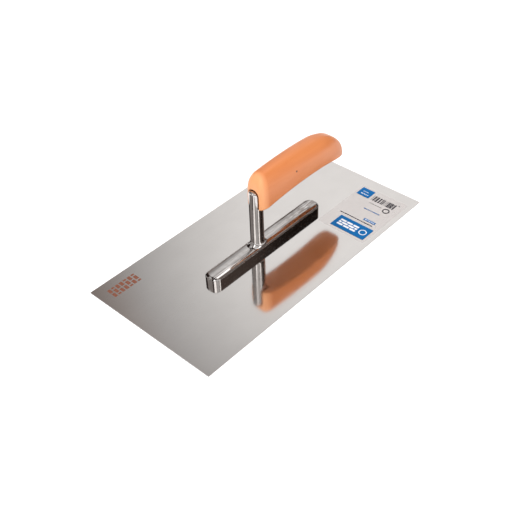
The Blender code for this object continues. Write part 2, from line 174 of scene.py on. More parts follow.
# Soft cards of light round the object, which the steel mirrors. Each is (azimuth from +X, half
# width, its soft edge, elevation, half height, its soft edge, brightness), with the angles in
# degrees. Left and right are the camera's.
CARDS = (
    (34, 6, 29, 20, 20, 22, 1.02),  # behind the object, mirrored by the blade
    (35, 18, 6, 4, 6, 13, -0.4),  # shade low behind, mirrored by the bar's rear edge
    (17, 9, 7, 72, 17, 6, 1.8),  # overhead
    (-15, 22, 8, 58, 8, 5, 0.22),  # high at the right, mirrored by the bar's shoulder
    (-50, 25, 10, 6, 12, 8, 0.2),  # low at the right, mirrored lower on the shoulder
    (105, 30, 12, 61, 9, 5, 0.5),  # high at the left
    (0, 180, 0, 88, 12, 8, 0.55),  # all round the zenith
    (-151, 11, 6, 42, 28, 10, 2.1),  # strip a little left of the camera
    (-67, 5, 4, 42, 28, 10, 2.2),  # strip at the right
    (-110, 26, 8, 40, 25, 10, 0.75),  # wall between the strips
    (146, 24, 12, 40, 25, 10, 0.4),  # wall at the left
    (-55, 11, 1, 40, 30, 10, 0.09),  # wall right of the strips
    (-13, 14, 6, 38, 12, 10, 0.14),  # wall mirrored by the post's right side
)


# --- Objects and shapes ---


def shade(mesh, sharp_angle):
    """Smooth shading, broken at edges sharper than an angle in degrees."""
    mesh.shade_smooth()
    mesh.set_sharp_from_angle(angle=math.radians(sharp_angle))


def object_from_bmesh(name, shape, material=None, sharp_angle=None):
    """An object with the shape, which is used up. It is flat shaded without a sharp_angle."""
    bmesh.ops.recalc_face_normals(shape, faces=shape.faces)
    mesh = bpy.data.meshes.new(name)
    shape.to_mesh(mesh)
    shape.free()
    if material:
        mesh.materials.append(material)
    if sharp_angle:
        shade(mesh, sharp_angle)
    obj = bpy.data.objects.new(name, mesh)
    bpy.context.scene.collection.objects.link(obj)
    return obj


def loft(rings, closed_ends=True):
    """Skin over rings of equal counts."""
    shape = bmesh.new()
    rows = [[shape.verts.new(point) for point in ring] for ring in rings]
    count = len(rows[0])
    for low, high in zip(rows, rows[1:]):
        for i in range(count):
            j = (i + 1) % count
            shape.faces.new((low[i], low[j], high[j], high[i]))
    if closed_ends:
        shape.faces.new(reversed(rows[0]))
        shape.faces.new(rows[-1])
    return shape


def cut(obj, cutters):
    """Cuts each cutter's shape out of obj, and removes the cutters."""
    for cutter in cutters:
        modifier = obj.modifiers.new(cutter.name, "BOOLEAN")
        modifier.operation = "DIFFERENCE"
        modifier.solver = "EXACT"
        modifier.object = cutter
    bpy.context.view_layer.update()
    graph = bpy.context.evaluated_depsgraph_get()
    mesh = bpy.data.meshes.new_from_object(obj.evaluated_get(graph))
    obj.modifiers.clear()
    obj.data = mesh
    for cutter in cutters:
        bpy.data.objects.remove(cutter, do_unlink=True)


def superellipse(half_x, half_y, squareness, count):
    """Points round a superellipse: squareness 2 is an ellipse, and more is squarer."""
    points = []
    for step in range(count):
        angle = 2 * math.pi * step / count
        cosine = math.cos(angle)
        sine = math.sin(angle)
        x = math.copysign(abs(cosine) ** (2 / squareness), cosine) * half_x
        y = math.copysign(abs(sine) ** (2 / squareness), sine) * half_y
        points.append((x, y))
    return points


def parabola(x, places, heights):
    """The height at x of the parabola through three (place, height) pairs."""
    total = 0.0
    for i in range(3):
        term = heights[i]
        for j in range(3):
            if j != i:
                term *= (x - places[j]) / (places[i] - places[j])
        total += term
    return total


def ease(t):
    """0 to 1 with level ends."""
    t = min(max(t, 0.0), 1.0)
    return t * t * (3 - 2 * t)


def between(pair, t):
    """The value from the pair's first at t = 0 to its second at t = 1."""
    return pair[0] + (pair[1] - pair[0]) * t


# --- Material nodes ---


def new_material(name, colour, roughness, metallic=0.0):
    """(material, tree, shader): a Principled shader for the other helpers to build on."""
    material = bpy.data.materials.new(name)
    material.use_nodes = True
    tree = material.node_tree
    shader = tree.nodes["Principled BSDF"]
    shader.inputs["Base Color"].default_value = (*colour, 1.0)
    shader.inputs["Roughness"].default_value = roughness
    shader.inputs["Metallic"].default_value = metallic
    material.diffuse_color = (*colour, 1.0)
    return material, tree, shader


def stretched(tree, scale):
    """Object coordinates in millimetres, multiplied along each axis by scale."""
    coordinates = tree.nodes.new("ShaderNodeTexCoord")
    mapping = tree.nodes.new("ShaderNodeMapping")
    mapping.inputs["Scale"].default_value = [s / MM for s in scale]
    tree.links.new(coordinates.outputs["Object"], mapping.inputs["Vector"])
    return mapping.outputs["Vector"]


def noise_over(tree, vector, scale, detail, distortion=0.0):
    """Noise over any coordinates."""
    texture = tree.nodes.new("ShaderNodeTexNoise")
    texture.inputs["Scale"].default_value = scale
    texture.inputs["Detail"].default_value = detail
    texture.inputs["Distortion"].default_value = distortion
    tree.links.new(vector, texture.inputs["Vector"])
    return texture.outputs["Fac"]


def cloud(tree, scale, detail, distortion=0.0):
    """Noise whose cells are 1 / scale millimetres along each axis."""
    return noise_over(tree, stretched(tree, scale), 1.0, detail, distortion)


def graded(tree, value, low, high, to_low=0.0, to_high=1.0):
    """value from low to high brought to the range to_low to to_high, and held there outside it."""
    node = tree.nodes.new("ShaderNodeMapRange")
    node.inputs["From Min"].default_value = low
    node.inputs["From Max"].default_value = high
    node.inputs["To Min"].default_value = to_low
    node.inputs["To Max"].default_value = to_high
    tree.links.new(value, node.inputs["Value"])
    return node.outputs["Result"]


def combined(tree, operation, *values):
    """A Math node; each value is a socket or a number."""
    node = tree.nodes.new("ShaderNodeMath")
    node.operation = operation
    for socket, value in zip(node.inputs, values):
        if isinstance(value, (int, float)):
            socket.default_value = value
        else:
            tree.links.new(value, socket)
    return node.outputs["Value"]


def mixed(tree, factor, first, second):
    """A colour between first and second; each is a socket or an (r, g, b)."""
    node = tree.nodes.new("ShaderNodeMix")
    node.data_type = "RGBA"
    tree.links.new(factor, node.inputs["Factor"])
    for name, value in (("A", first), ("B", second)):
        socket = next(i for i in node.inputs if i.name == name and i.type == "RGBA")
        if isinstance(value, tuple):
            socket.default_value = (*value, 1.0)
        else:
            tree.links.new(value, socket)
    return next(o for o in node.outputs if o.type == "RGBA")


def axes_of(tree, node_type, output):
    """The X, Y and Z outputs of an input node's vector."""
    source = tree.nodes.new(node_type)
    split = tree.nodes.new("ShaderNodeSeparateXYZ")
    tree.links.new(source.outputs[output], split.inputs["Vector"])
    return split.outputs


def bumped(tree, height, distance):
    """A normal from height, whose 0 to 1 is distance metres."""
    node = tree.nodes.new("ShaderNodeBump")
    node.inputs["Distance"].default_value = distance
    node.inputs["Strength"].default_value = 1.0
    tree.links.new(height, node.inputs["Height"])
    return node.outputs["Normal"]


# --- Materials ---

# Colours are linear. A pair of tones is mixed by noise, and single tones are laid over it.
BLADE_BASE = (0.69, 0.67, 0.65)
BLADE_TONES = ((0.67, 0.648, 0.632), (0.707, 0.686, 0.67))
# the blade's rim: partly its own sheared edge, partly painted shade along it
BLADE_EDGE_AND_SHADE_TONE = (0.36, 0.34, 0.33)
CHROME_BASE = (0.56, 0.54, 0.53)
CHROME_TONES = ((0.64, 0.62, 0.61), (0.56, 0.535, 0.52))
# dark brown over the bar's far half: painted shade and a painted reflection of the handle above it
CHROME_HANDLE_SHADE_TONE = (0.27, 0.24, 0.225)
CHROME_LINE_TONE = (0.30, 0.275, 0.26)
CHROME_HANDLE_SHADE_X = (5 * MM, 55 * MM)
RIVET_TONES = ((0.38, 0.365, 0.35), (0.55, 0.54, 0.53))
PIN_TONES = ((0.05, 0.04, 0.035), (0.10, 0.08, 0.07))
BEECH_BASE = (0.76, 0.26, 0.085)
BEECH_TONES = ((0.625, 0.202, 0.066), (0.665, 0.230, 0.080))
BEECH_MOTTLE_TONE = (0.63, 0.192, 0.060)
# paler nose: its end grain, and painted light on the lit front and corners
BEECH_END_GRAIN_AND_LIGHT_TONE = (0.77, 0.34, 0.15)
BEECH_FLECK_TONE = (0.46, 0.13, 0.04)
BEECH_PORE_TONE = (0.42, 0.11, 0.035)
FILM_TONE = (0.80, 0.66, 0.66)
INK_UNEVENNESS = 0.86
FLOOR_TONE = (0.93, 0.93, 0.93)


def sheet_steel():
    """Rolled stainless sheet, nearly a mirror: a cloudy film, hairlines and sheared edges, which are
    rough and darker; their dark tone is partly painted shade.
    """
    material, tree, shader = new_material("blade_steel", BLADE_BASE, 0.09, 1.0)
    clouds = cloud(tree, (0.03, 0.04, 0.04), 4.0)
    grain = cloud(tree, (0.02, 3.0, 3.0), 2.0)
    scratches = graded(tree, cloud(tree, (0.012, 1.1, 1.1), 1.0, 0.4), 0.70, 0.74)
    cloud_part = combined(tree, "MULTIPLY", clouds, 0.7)
    grain_part = combined(tree, "MULTIPLY", grain, 0.3)
    tone = combined(tree, "ADD", cloud_part, grain_part)
    colour = mixed(tree, graded(tree, tone, 0.35, 0.65), *BLADE_TONES)
    level = combined(tree, "ABSOLUTE", axes_of(tree, "ShaderNodeNewGeometry", "Normal")["Z"])
    # Faces that don't face up get a darker tone: the sheared edge, partly painted shade.
    edge = graded(tree, level, 0.6, 0.3)
    colour = mixed(tree, edge, colour, BLADE_EDGE_AND_SHADE_TONE)
    tree.links.new(colour, shader.inputs["Base Color"])
    rough = graded(tree, clouds, 0.3, 0.7, 0.08, 0.11)
    rough = combined(tree, "ADD", rough, combined(tree, "MULTIPLY", scratches, 0.05))
    rough = combined(tree, "MAXIMUM", rough, combined(tree, "MULTIPLY", edge, 0.35))
    tree.links.new(rough, shader.inputs["Roughness"])
    tree.links.new(bumped(tree, grain, 0.0006 * MM), shader.inputs["Normal"])
    return material


def along_bar(tree):
    """Coordinates for streaks that run along X."""
    return stretched(tree, (0.02, 1.0, 1.0))


def along_shank(tree):
    """Coordinates for streaks that run down the shank and out over its foot."""
    coordinates = tree.nodes.new("ShaderNodeTexCoord")
    outward = tree.nodes.new("ShaderNodeVectorMath")
    outward.operation = "MULTIPLY_ADD"
    outward.inputs[1].default_value = (1.0, 1.0, 0.0)
    outward.inputs[2].default_value = (-SHANK_X, 0.0, 0.0)
    tree.links.new(coordinates.outputs["Object"], outward.inputs[0])
    direction = tree.nodes.new("ShaderNodeVectorMath")
    direction.operation = "NORMALIZE"
    tree.links.new(outward.outputs["Vector"], direction.inputs[0])
    place = tree.nodes.new("ShaderNodeVectorMath")
    place.operation = "MULTIPLY_ADD"
    place.inputs[1].default_value = (6.0, 6.0, 0.0)
    tree.links.new(direction.outputs["Vector"], place.inputs[0])
    tree.links.new(stretched(tree, (0.0, 0.0, 0.02)), place.inputs[2])
    return place.outputs["Vector"]


def polished_chrome(name, vector_of, line_share):
    """Chrome over a ground part, with streaks and dark lines along it, and towards the tail painted
    shade with a painted reflection of the handle.
    """
    material, tree, shader = new_material(name, CHROME_BASE, 0.06, 1.0)
    vector = vector_of(tree)
    streaks = noise_over(tree, vector, 1.3, 3.0)
    lines = noise_over(tree, vector, 2.1, 2.0)
    stains = cloud(tree, (0.25, 0.25, 0.25), 4.0)
    colour = mixed(tree, graded(tree, stains, 0.35, 0.7), *CHROME_TONES)
    along = axes_of(tree, "ShaderNodeTexCoord", "Object")["X"]
    # Darker and browner in blotches towards the tail, under the handle: painted shade and a painted
    # handle reflection.
    handle_shade = graded(tree, along, *CHROME_HANDLE_SHADE_X, 0.0, 0.9)
    blotches = graded(tree, cloud(tree, (0.12, 0.7, 0.7), 3.0), 0.62, 0.45)
    handle_shade = combined(tree, "MULTIPLY", handle_shade, blotches)
    colour = mixed(tree, handle_shade, colour, CHROME_HANDLE_SHADE_TONE)
    dark_lines = graded(tree, lines, 0.55, 0.68, 0.0, line_share)
    colour = mixed(tree, dark_lines, colour, CHROME_LINE_TONE)
    tree.links.new(colour, shader.inputs["Base Color"])
    rough = graded(tree, streaks, 0.3, 0.7, 0.04, 0.10)
    tree.links.new(rough, shader.inputs["Roughness"])
    tree.links.new(bumped(tree, streaks, 0.010 * MM), shader.inputs["Normal"])
    return material


def turned_steel(name, dark, light):
    """Plain steel between two tones, with faint tool marks."""
    material, tree, shader = new_material(name, light, 0.35, 1.0)
    marks = cloud(tree, (1.5, 1.5, 1.5), 4.0)
    colour = mixed(tree, graded(tree, marks, 0.35, 0.65), dark, light)
    tree.links.new(colour, shader.inputs["Base Color"])
    tree.links.new(graded(tree, marks, 0.3, 0.7, 0.28, 0.45), shader.inputs["Roughness"])
    tree.links.new(bumped(tree, marks, 0.01 * MM), shader.inputs["Normal"])
    return material


def varnished_beech():
    """Beech with a satin varnish: soft growth bands, short fine flecks and paler end grain, spread
    round the nose's corners as painted light.
    """
    material, tree, shader = new_material("beech", BEECH_BASE, 0.40)
    bands = cloud(tree, (0.010, 0.14, 0.14), 3.0, 0.5)
    mottle = cloud(tree, (0.05, 0.09, 0.09), 3.0)
    flecks = cloud(tree, (0.45, 5.0, 5.0), 2.0)
    pores = cloud(tree, (0.25, 9.0, 9.0), 1.0)
    colour = mixed(tree, graded(tree, bands, 0.3, 0.7), *BEECH_TONES)
    colour = mixed(tree, graded(tree, mottle, 0.45, 0.8, 0.0, 0.4), colour, BEECH_MOTTLE_TONE)
    # Paler towards the nose: its end grain, and painted light on the lit front and its corners.
    end_grain_and_light = axes_of(tree, "ShaderNodeNewGeometry", "Normal")["X"]
    colour = mixed(tree, graded(tree, end_grain_and_light, -0.15, -0.6), colour, BEECH_END_GRAIN_AND_LIGHT_TONE)
    colour = mixed(tree, graded(tree, flecks, 0.62, 0.72, 0.0, 0.22), colour, BEECH_FLECK_TONE)
    colour = mixed(tree, graded(tree, pores, 0.66, 0.74, 0.0, 0.20), colour, BEECH_PORE_TONE)
    tree.links.new(colour, shader.inputs["Base Color"])
    tree.links.new(graded(tree, mottle, 0.3, 0.7, 0.36, 0.44), shader.inputs["Roughness"])
    tree.links.new(bumped(tree, flecks, 0.015 * MM), shader.inputs["Normal"])
    shader.inputs["Specular IOR Level"].default_value = 0.35
    shader.inputs["Coat Weight"].default_value = 0.22
    shader.inputs["Coat Roughness"].default_value = 0.22
    return material


def clear_film():
    """Nearly clear film, slightly rippled."""
    material, tree, shader = new_material("label_film", FILM_TONE, 0.12)
    shader.inputs["Alpha"].default_value = 0.05
    ripple = cloud(tree, (0.12, 0.12, 0.12), 2.0)
    tree.links.new(bumped(tree, ripple, 0.02 * MM), shader.inputs["Normal"])
    tree.links.new(graded(tree, ripple, 0.3, 0.7, 0.10, 0.16), shader.inputs["Roughness"])
    return material


def ink(name, colour, roughness=0.35):
    """Printing ink, a little uneven."""
    material, tree, shader = new_material(name, colour, roughness)
    speckle = cloud(tree, (2.5, 2.5, 2.5), 3.0)
    darker = tuple(c * INK_UNEVENNESS for c in colour)
    uneven = mixed(tree, graded(tree, speckle, 0.35, 0.65), darker, colour)
    tree.links.new(uneven, shader.inputs["Base Color"])
    rough = graded(tree, speckle, 0.3, 0.7, roughness - 0.06, roughness + 0.06)
    tree.links.new(rough, shader.inputs["Roughness"])
    shader.inputs["Specular IOR Level"].default_value = 0.12
    return material


def pale_floor():
    """Nearly white, and a little brighter than the light alone makes it."""
    material, tree, shader = new_material("pale_floor", FLOOR_TONE, 0.9)
    shader.inputs["Specular IOR Level"].default_value = 0.1
    shader.inputs["Emission Color"].default_value = (1.0, 1.0, 1.0, 1.0)
    shader.inputs["Emission Strength"].default_value = 0.2
    return material


# --- Mounting bar ---


def bar_outline(inset, z):
    """The bar's plan outline, drawn in by inset at the sides and by less at the ends."""
    centre_x = (BAR_LOW.x + BAR_HIGH.x) / 2
    half_width = BAR_HIGH.y - inset
    end_length = BAR_END_LENGTH * half_width / BAR_HIGH.y
    straight_half = (BAR_HIGH.x - BAR_LOW.x) / 2 - BAR_END_INSET_SHARE * inset - end_length
    end_steps = 40
    side_steps = 70
    power = 2 / BAR_END_SQUARENESS
    ring = []
    for side in (1, -1):
        for step in range(end_steps + 1):
            angle = math.pi * (step / end_steps - 0.5)
            reach = end_length * max(math.cos(angle), 0.0) ** power
            y = half_width * math.copysign(abs(math.sin(angle)) ** power, angle)
            ring.append((centre_x + side * (straight_half + reach), side * y, z))
        for step in range(1, side_steps):
            x = centre_x + side * straight_half * (1 - 2 * step / side_steps)
            ring.append((x, side * half_width, z))
    return ring


def bar_top_height(y):
    """Height of the bar's crowned top, away from its ends."""
    share = min(abs(y) / BAR_CROWN_HALF, 1.0)
    rise = BAR_HIGH.z - BAR_LEDGE_HEIGHT
    return BAR_LEDGE_HEIGHT + rise * (1 - share * share) ** BAR_CROWN_POWER


def grind(shape):
    """Shallow waves along the bar's top, as left by grinding. They fade out at the shank."""
    for vertex in shape.verts:
        x, y, z = vertex.co
        if z > BAR_LEDGE_HEIGHT + GRIND_ABOVE_LEDGE:
            waves = 0.0
            for share, length, width, place in GRIND_WAVES:
                waves += share * noise.noise(Vector((x / length, y / width, place)))
            clear_of_shank = ease((abs(x - SHANK_X) - GRIND_CLEARANCE) / GRIND_FADE)
            vertex.co.z += GRIND_DEPTH * waves * clear_of_shank


def make_bar(material):
    """Upright sides up to the ledge, then rings that close over the crowned top."""
    side = (BAR_LOW.z, BAR_LEDGE_HEIGHT)
    rings = [bar_outline(0, between(side, share)) for share in BAR_SIDE_SHARES]
    rings.append(bar_outline(BAR_EDGE_INSET, BAR_LEDGE_HEIGHT - BAR_EDGE_DROP))
    crown_steps = 34
    for step in range(crown_steps):
        turn = math.pi / 2 * step / crown_steps
        y = BAR_CROWN_HALF * math.cos(turn)
        rings.append(bar_outline(BAR_HIGH.y - y, bar_top_height(y)))
    shape = loft(rings)
    grind(shape)
    bar = object_from_bmesh("bar_body", shape, material, sharp_angle=16)
    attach(bar, "root")
    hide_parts("mounting_bar")


# --- Shank ---


def shank_ring(x, z, tilt, front, rear, half_width):
    """An oval section about (x, z), level at tilt 0. Its front side turns up as tilt grows."""
    ring = []
    for across, y in superellipse(1.0, half_width, SHANK_SQUARENESS, SECTION_POINTS):
        reach = across * (rear if across > 0 else front)
        ring.append((x + reach * math.cos(tilt), y, z - reach * math.sin(tilt)))
    return ring


def foot_rings():
    """The foot flares forwards and a little backwards, and runs out into the bar's crowned top."""
    rings = []
    fillet_steps = 20
    for step in range(fillet_steps + 1):
        angle = math.pi / 2 * step / fillet_steps
        flare = 1 - math.sin(angle)
        rise = FILLET_HEIGHT * (1 - math.cos(angle))
        ring = shank_ring(
            SHANK_X,
            0,
            0,
            SHANK_HALF_DEPTH + FRONT_FILLET * flare,
            SHANK_HALF_DEPTH + REAR_FILLET * flare,
            SHANK_HALF_WIDTH + SIDE_FILLET * flare,
        )
        rings.append([(x, y, bar_top_height(y) - FOOT_SUNK + rise) for x, y, _ in ring])
    return rings


def post_rings():
    """The straight post, up to where it starts to thin from behind."""
    rings = []
    straight_steps = 10
    foot_top = BAR_HIGH.z + FILLET_HEIGHT
    for step in range(1, straight_steps + 1):
        z = between((foot_top, THINNING_START), step / straight_steps)
        rings.append(shank_ring(SHANK_X, z, 0, SHANK_HALF_DEPTH, SHANK_HALF_DEPTH, SHANK_HALF_WIDTH))
    return rings


def front_path():
    """(x, z) along the post's front while its sections turn: straight up, round a corner and back."""
    corner_z = HEAD_HEIGHT - HEAD_RADIUS
    path = []
    steps = 9
    for step in range(steps):
        path.append((POST_FRONT_X, between((THINNED_HEIGHT, corner_z), step / steps)))
    for step in range(steps):
        turn = math.pi / 2 * step / steps
        x = POST_FRONT_X + HEAD_RADIUS * (1 - math.cos(turn))
        path.append((x, corner_z + HEAD_RADIUS * math.sin(turn)))
    end_x = TANG_START.x - TANG_HALF_HEIGHTS[0] * math.cos(TANG_TILT)
    end_z = TANG_START.z + TANG_HALF_HEIGHTS[0] * math.sin(TANG_TILT)
    for step in range(steps + 1):
        t = step / steps
        x = between((POST_FRONT_X + HEAD_RADIUS, end_x), t)
        path.append((x, between((HEAD_HEIGHT, end_z), t)))
    return path


def turning_rings():
    """Sections that turn about the post's inner side, from the level post into the tang."""
    end_x = TANG_START.x + TANG_HALF_HEIGHTS[0] * math.cos(TANG_TILT)
    end_z = TANG_START.z - TANG_HALF_HEIGHTS[0] * math.sin(TANG_TILT)
    path = front_path()
    rings = []
    for number, (front_x, front_z) in enumerate(path):
        t = number / (len(path) - 1)
        inner_x = between((THINNED_REAR_X, end_x), t)
        inner_z = between((THINNED_HEIGHT, end_z), t)
        length = math.hypot(front_x - inner_x, front_z - inner_z)
        tilt = math.atan2(front_z - inner_z, inner_x - front_x)
        past_straight = ease((t - TANG_BLEND_START) / (1 - TANG_BLEND_START))
        rear_share = (inner_x - SHANK_X) / (inner_x - POST_FRONT_X)
        rear_share = between((rear_share, 0.5), past_straight)
        half_width = between((SHANK_HALF_WIDTH, TANG_HALF_WIDTHS[0]), past_straight)
        x = between((inner_x, front_x), rear_share)
        z = between((inner_z, front_z), rear_share)
        front = length * (1 - rear_share)
        rings.append(shank_ring(x, z, tilt, front, length * rear_share, half_width))
    return rings


def tang_rings(places, gap=0.0):
    """Sections along the tang, from 0 at the bend to 1 at its end, larger all round by gap."""
    rings = []
    for place in places:
        along = (TANG_LENGTH + gap) * place
        x = TANG_START.x + along * math.cos(TANG_SLOPE)
        z = TANG_START.z + along * math.sin(TANG_SLOPE)
        half_height = between(TANG_HALF_HEIGHTS, place) + gap
        half_width = between(TANG_HALF_WIDTHS, place) + gap
        rings.append(shank_ring(x, z, TANG_TILT, half_height, half_height, half_width))
    return rings


def make_shank(material):
    """One skin from the flared foot to the end of the tang inside the handle."""
    rings = foot_rings() + post_rings() + turning_rings() + tang_rings(TANG_PLACES)
    shank = object_from_bmesh("shank_body", loft(rings), material, sharp_angle=50)
    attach(shank, "root")
    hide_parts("shank")


# --- Handle ---


def handle_half_width(x):
    return parabola(x, (NOSE_END, (NOSE_END + TAIL_START) / 2, TAIL_START), HALF_WIDTHS)


def handle_crest(x):
    return parabola(x, (NOSE_END, (NOSE_END + TAIL_START) / 2, TAIL_START), CREST_HEIGHTS)


def handle_bottom(x):
    middle = (HANDLE_NOSE_X + HANDLE_TAIL_X) / 2
    return parabola(x, (HANDLE_NOSE_X, middle, HANDLE_TAIL_X), BOTTOM_HEIGHTS)


def handle_shoulder(x):
    """Height at which the handle's upright sides turn into its rounded top."""
    nose, middle, tail = SHOULDER_HEIGHTS
    along_grip = ease((x - NOSE_END) / (TAIL_START - NOSE_END))
    along_tail = ease((x - TAIL_START) / TAIL_LENGTH)
    return nose + (middle - nose) * along_grip + (tail - middle) * along_tail


def nose_outline():
    """Half of the nose in plan: a flat front, a rounded corner that meets the side at a soft
    crease, and the start of the side."""
    half = []
    flat_steps = 5
    corner_steps = 18
    flat_half = handle_half_width(HANDLE_NOSE_X + NOSE_CORNER_LENGTH) - NOSE_CORNER_WIDTH
    for step in range(flat_steps):
        half.append((HANDLE_NOSE_X, flat_half * step / flat_steps))
    for step in range(corner_steps + 1):
        angle = NOSE_CORNER_SWEEP * step / corner_steps
        along = (1 - math.cos(angle)) / (1 - math.cos(NOSE_CORNER_SWEEP))
        across = math.sin(angle) / math.sin(NOSE_CORNER_SWEEP)
        x = HANDLE_NOSE_X + NOSE_CORNER_LENGTH * along
        half.append((x, flat_half + NOSE_CORNER_WIDTH * across))
    side_steps = 4
    for step in range(1, side_steps + 1):
        x = between((HANDLE_NOSE_X + NOSE_CORNER_LENGTH, NOSE_END), step / side_steps)
        half.append((x, handle_half_width(x)))
    return half


def handle_outline():
    """The plan outline once round, each point as (x, y, x of the spine point it closes on)."""
    grip_steps = 36
    tail_steps = 26
    side = [(x, y, NOSE_END) for x, y in nose_outline()]
    for step in range(1, grip_steps):
        x = between((NOSE_END, TAIL_START), step / grip_steps)
        side.append((x, handle_half_width(x), x))
    for step in range(tail_steps + 1):
        angle = math.pi / 2 * step / tail_steps
        x = TAIL_START + TAIL_LENGTH * math.sin(angle) ** (2 / TAIL_SQUARENESS)
        y = handle_half_width(x) * max(math.cos(angle), 0.0) ** (2 / TAIL_SQUARENESS)
        side.append((x, y, TAIL_START))
    return side + [(x, -y, spine) for x, y, spine in reversed(side[1:-1])]


def lower_edge_rings(outline):
    """Rings that turn from the flat underside into the upright sides."""
    widest = max(HALF_WIDTHS)
    rings = [[(spine, 0, handle_bottom(spine)) for x, y, spine in outline]]
    for angle in EDGE_ANGLES:
        turn = math.radians(angle)
        ring = []
        for x, y, spine in outline:
            towards_tail = ease((x - spine) / TAIL_LENGTH) if x > spine else 0.0
            radius = between(EDGE_RADII, towards_tail)
            scale = 1 - radius / widest * (1 - math.sin(turn))
            z = handle_bottom(x) + radius * (1 - math.cos(turn))
            ring.append((spine + (x - spine) * scale, y * scale, z))
        rings.append(ring)
    return rings


def side_and_dome_rings(outline, side_start):
    """Rings up the sides from side_start, then over the rounded top to the spine."""
    rings = []
    for share in SIDE_SHARES:
        ring = []
        for (x, y, _), (_, _, low_z) in zip(outline, side_start):
            ring.append((x, y, between((low_z, handle_shoulder(x)), share)))
        rings.append(ring)
    dome_steps = 26
    power = 2 / DOME_SQUARENESS
    for step in range(dome_steps + 1):
        turn = math.pi / 2 * step / dome_steps
        scale = max(math.cos(turn), 0.0) ** power
        lift = math.sin(turn) ** power
        ring = []
        for x, y, spine in outline:
            ring_x = spine + (x - spine) * scale
            base = handle_shoulder(x)
            ring.append((ring_x, y * scale, base + (handle_crest(ring_x) - base) * lift))
        rings.append(ring)
    return rings


def handle_shape():
    """The handle before its notch, bore and pin hole are cut."""
    outline = handle_outline()
    rings = lower_edge_rings(outline)
    rings += side_and_dome_rings(outline, rings[-1])
    shape = loft(rings, closed_ends=False)
    bmesh.ops.remove_doubles(shape, verts=shape.verts, dist=MERGE_DISTANCE)
    return shape


def notch_profile(x, half_width):
    """The notch's outline at x: an arch that is open below."""
    spring = NOTCH_TOP - NOTCH_HALF_WIDTH
    low = BOTTOM_HEIGHTS[0] - NOTCH_CUT_OVERRUN
    points = [(x, half_width, low)]
    arch_steps = 32
    for step in range(arch_steps + 1):
        angle = math.pi * step / arch_steps
        points.append((x, half_width * math.cos(angle), spring + half_width * math.sin(angle)))
    points.append((x, -half_width, low))
    return points


def notch_cutter():
    """A slot that runs in from in front of the nose, wider at its rounded lip."""
    mouth = NOTCH_HALF_WIDTH + NOTCH_LIP
    rings = [notch_profile(HANDLE_NOSE_X - NOTCH_CUT_OVERRUN, mouth)]
    lip_steps = 8
    for step in range(lip_steps + 1):
        turn = math.pi / 2 * step / lip_steps
        x = HANDLE_NOSE_X + NOTCH_LIP * (1 - math.cos(turn))
        rings.append(notch_profile(x, NOTCH_HALF_WIDTH + NOTCH_LIP * (1 - math.sin(turn))))
    rings.append(notch_profile(NOTCH_REAR_X, NOTCH_HALF_WIDTH))
    return object_from_bmesh("notch_cutter", loft(rings))


def pin_hole_cutter():
    """The pin's hole, from outside the handle's side to the pin's point."""
    centre_x = (PIN_LOW.x + PIN_HIGH.x) / 2
    centre_z = (PIN_LOW.z + PIN_HIGH.z) / 2
    radius = (PIN_HIGH.x - PIN_LOW.x) / 2 + PIN_GAP
    rings = []
    for y in (PIN_LOW.y - PIN_CUT_OVERRUN, PIN_HIGH.y + PIN_GAP):
        circle = superellipse(radius, radius, 2, 24)
        rings.append([(centre_x + u, y, centre_z + v) for u, v in circle])
    return object_from_bmesh("pin_hole_cutter", loft(rings))


def make_handle(material):
    """The wooden handle, with its notch, the tang's bore and the pin's hole cut out."""
    handle = object_from_bmesh("handle_body", handle_shape(), material)
    bore = object_from_bmesh("bore_cutter", loft(tang_rings(BORE_PLACES, BORE_GAP)))
    cut(handle, [notch_cutter(), bore, pin_hole_cutter()])
    shade(handle.data, sharp_angle=42)
    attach(handle, "root")
    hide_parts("handle")


# --- Label and printed marks ---


def rounded_plate(low, high, radius, steps=6):
    """A closed plate between two corners, with rounded upright edges."""
    rings = []
    for z in (low.z, high.z):
        ring = []
        for corner in range(4):
            corner_x = high.x - radius if corner in (0, 3) else low.x + radius
            corner_y = high.y - radius if corner in (0, 1) else low.y + radius
            for step in range(steps + 1):
                angle = math.pi / 2 * (corner + step / steps)
                x = corner_x + radius * math.cos(angle)
                ring.append((x, corner_y + radius * math.sin(angle), z))
        rings.append(ring)
    return loft(rings)


def joined(shapes):
    """One bmesh of several, which are used up."""
    whole = bmesh.new()
    for shape in shapes:
        mesh = bpy.data.meshes.new("part")
        shape.to_mesh(mesh)
        shape.free()
        whole.from_mesh(mesh)
        bpy.data.meshes.remove(mesh)
    return whole


def printed(name, marks, base, material):
    """Thin marks at height base, each (x, y, x, y) in millimetres or a bmesh."""
    shapes = []
    for mark in marks:
        if isinstance(mark, tuple):
            x0, y0, x1, y1 = (value * MM for value in mark)
            radius = PRINT_CORNER_SHARE * min(x1 - x0, y1 - y0)
            low = Vector((x0, y0, base))
            high = Vector((x1, y1, base + PRINT_THICKNESS))
            mark = rounded_plate(low, high, radius, steps=2)
        shapes.append(mark)
    return object_from_bmesh(name, joined(shapes), material)


def ring_mark(x, y, outer, inner, base):
    """A flat printed ring at height base, its other sizes in millimetres."""
    shape = bmesh.new()
    steps = 40
    top = base + PRINT_THICKNESS
    rows = []
    for step in range(steps):
        angle = 2 * math.pi * step / steps
        row = []
        for radius, z in ((outer, base), (outer, top), (inner, top), (inner, base)):
            mark_x = (x + radius * math.cos(angle)) * MM
            mark_y = (y + radius * math.sin(angle)) * MM
            row.append(shape.verts.new((mark_x, mark_y, z)))
        rows.append(row)
    for row, following in zip(rows, rows[1:] + rows[:1]):
        for i in range(4):
            j = (i + 1) % 4
            shape.faces.new((row[i], row[j], following[j], following[i]))
    return shape


